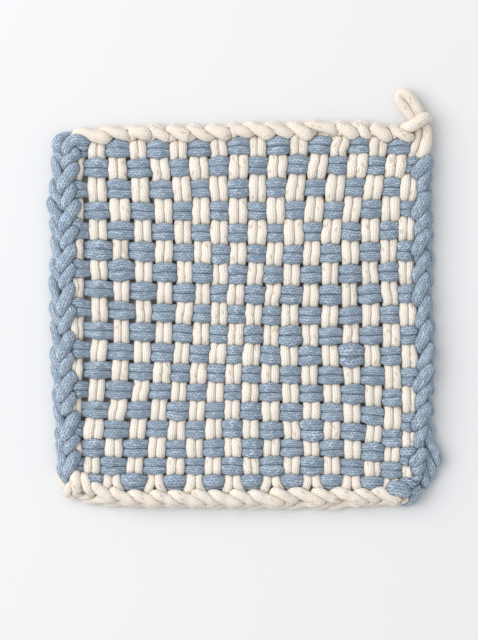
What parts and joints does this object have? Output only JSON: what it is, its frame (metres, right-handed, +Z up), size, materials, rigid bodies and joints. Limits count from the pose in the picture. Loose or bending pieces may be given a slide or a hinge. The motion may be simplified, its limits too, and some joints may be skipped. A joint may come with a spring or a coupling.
{
  "type": "woven potholder",
  "caption": "Square woven potholder of cream and blue cotton loops in plain weave, with chained edges and a hanging loop at one corner.",
  "frame": {"origin": "on the surface that the potholder lies on, under the middle of the whole potholder with its hanging loop", "axes": "+X to the right, +Y towards the side with the hanging loop, +Z up out of the surface"},
  "size_m": [0.152, 0.1652, 0.01],
  "materials": {
    "cream_cotton": "matte",
    "blue_cotton": "matte"
  },
  "bodies": {
    "root": {"warp_loop_01": "cream_cotton", "warp_loop_02": "cream_cotton", "warp_loop_03": "cream_cotton", "warp_loop_04": "cream_cotton", "warp_loop_05": "cream_cotton", "warp_loop_06": "cream_cotton", "warp_loop_07": "cream_cotton", "warp_loop_08": "cream_cotton", "warp_loop_09": "cream_cotton", "warp_loop_10": "cream_cotton", "warp_loop_11": "cream_cotton", "warp_loop_12": "cream_cotton", "warp_loop_13": "cream_cotton", "warp_loop_14": "cream_cotton", "warp_loop_15": "cream_cotton", "warp_loop_16": "cream_cotton", "warp_loop_17": "cream_cotton", "warp_loop_18": "cream_cotton", "weft_loop_01": "blue_cotton", "weft_loop_02": "blue_cotton", "weft_loop_03": "blue_cotton", "weft_loop_04": "blue_cotton", "weft_loop_05": "blue_cotton", "weft_loop_06": "blue_cotton", "weft_loop_07": "blue_cotton", "weft_loop_08": "blue_cotton", "weft_loop_09": "blue_cotton", "weft_loop_10": "blue_cotton", "weft_loop_11": "blue_cotton", "weft_loop_12": "blue_cotton", "weft_loop_13": "blue_cotton", "weft_loop_14": "blue_cotton", "weft_loop_15": "blue_cotton", "weft_loop_16": "blue_cotton", "weft_loop_17": "blue_cotton", "weft_loop_18": "blue_cotton", "edge_chain_top": "cream_cotton", "edge_chain_bottom": "cream_cotton", "edge_chain_left": "blue_cotton", "edge_chain_right": "blue_cotton", "corner_bight": "cream_cotton", "hanging_loop": "cream_cotton"}
  },
  "joints": []
}
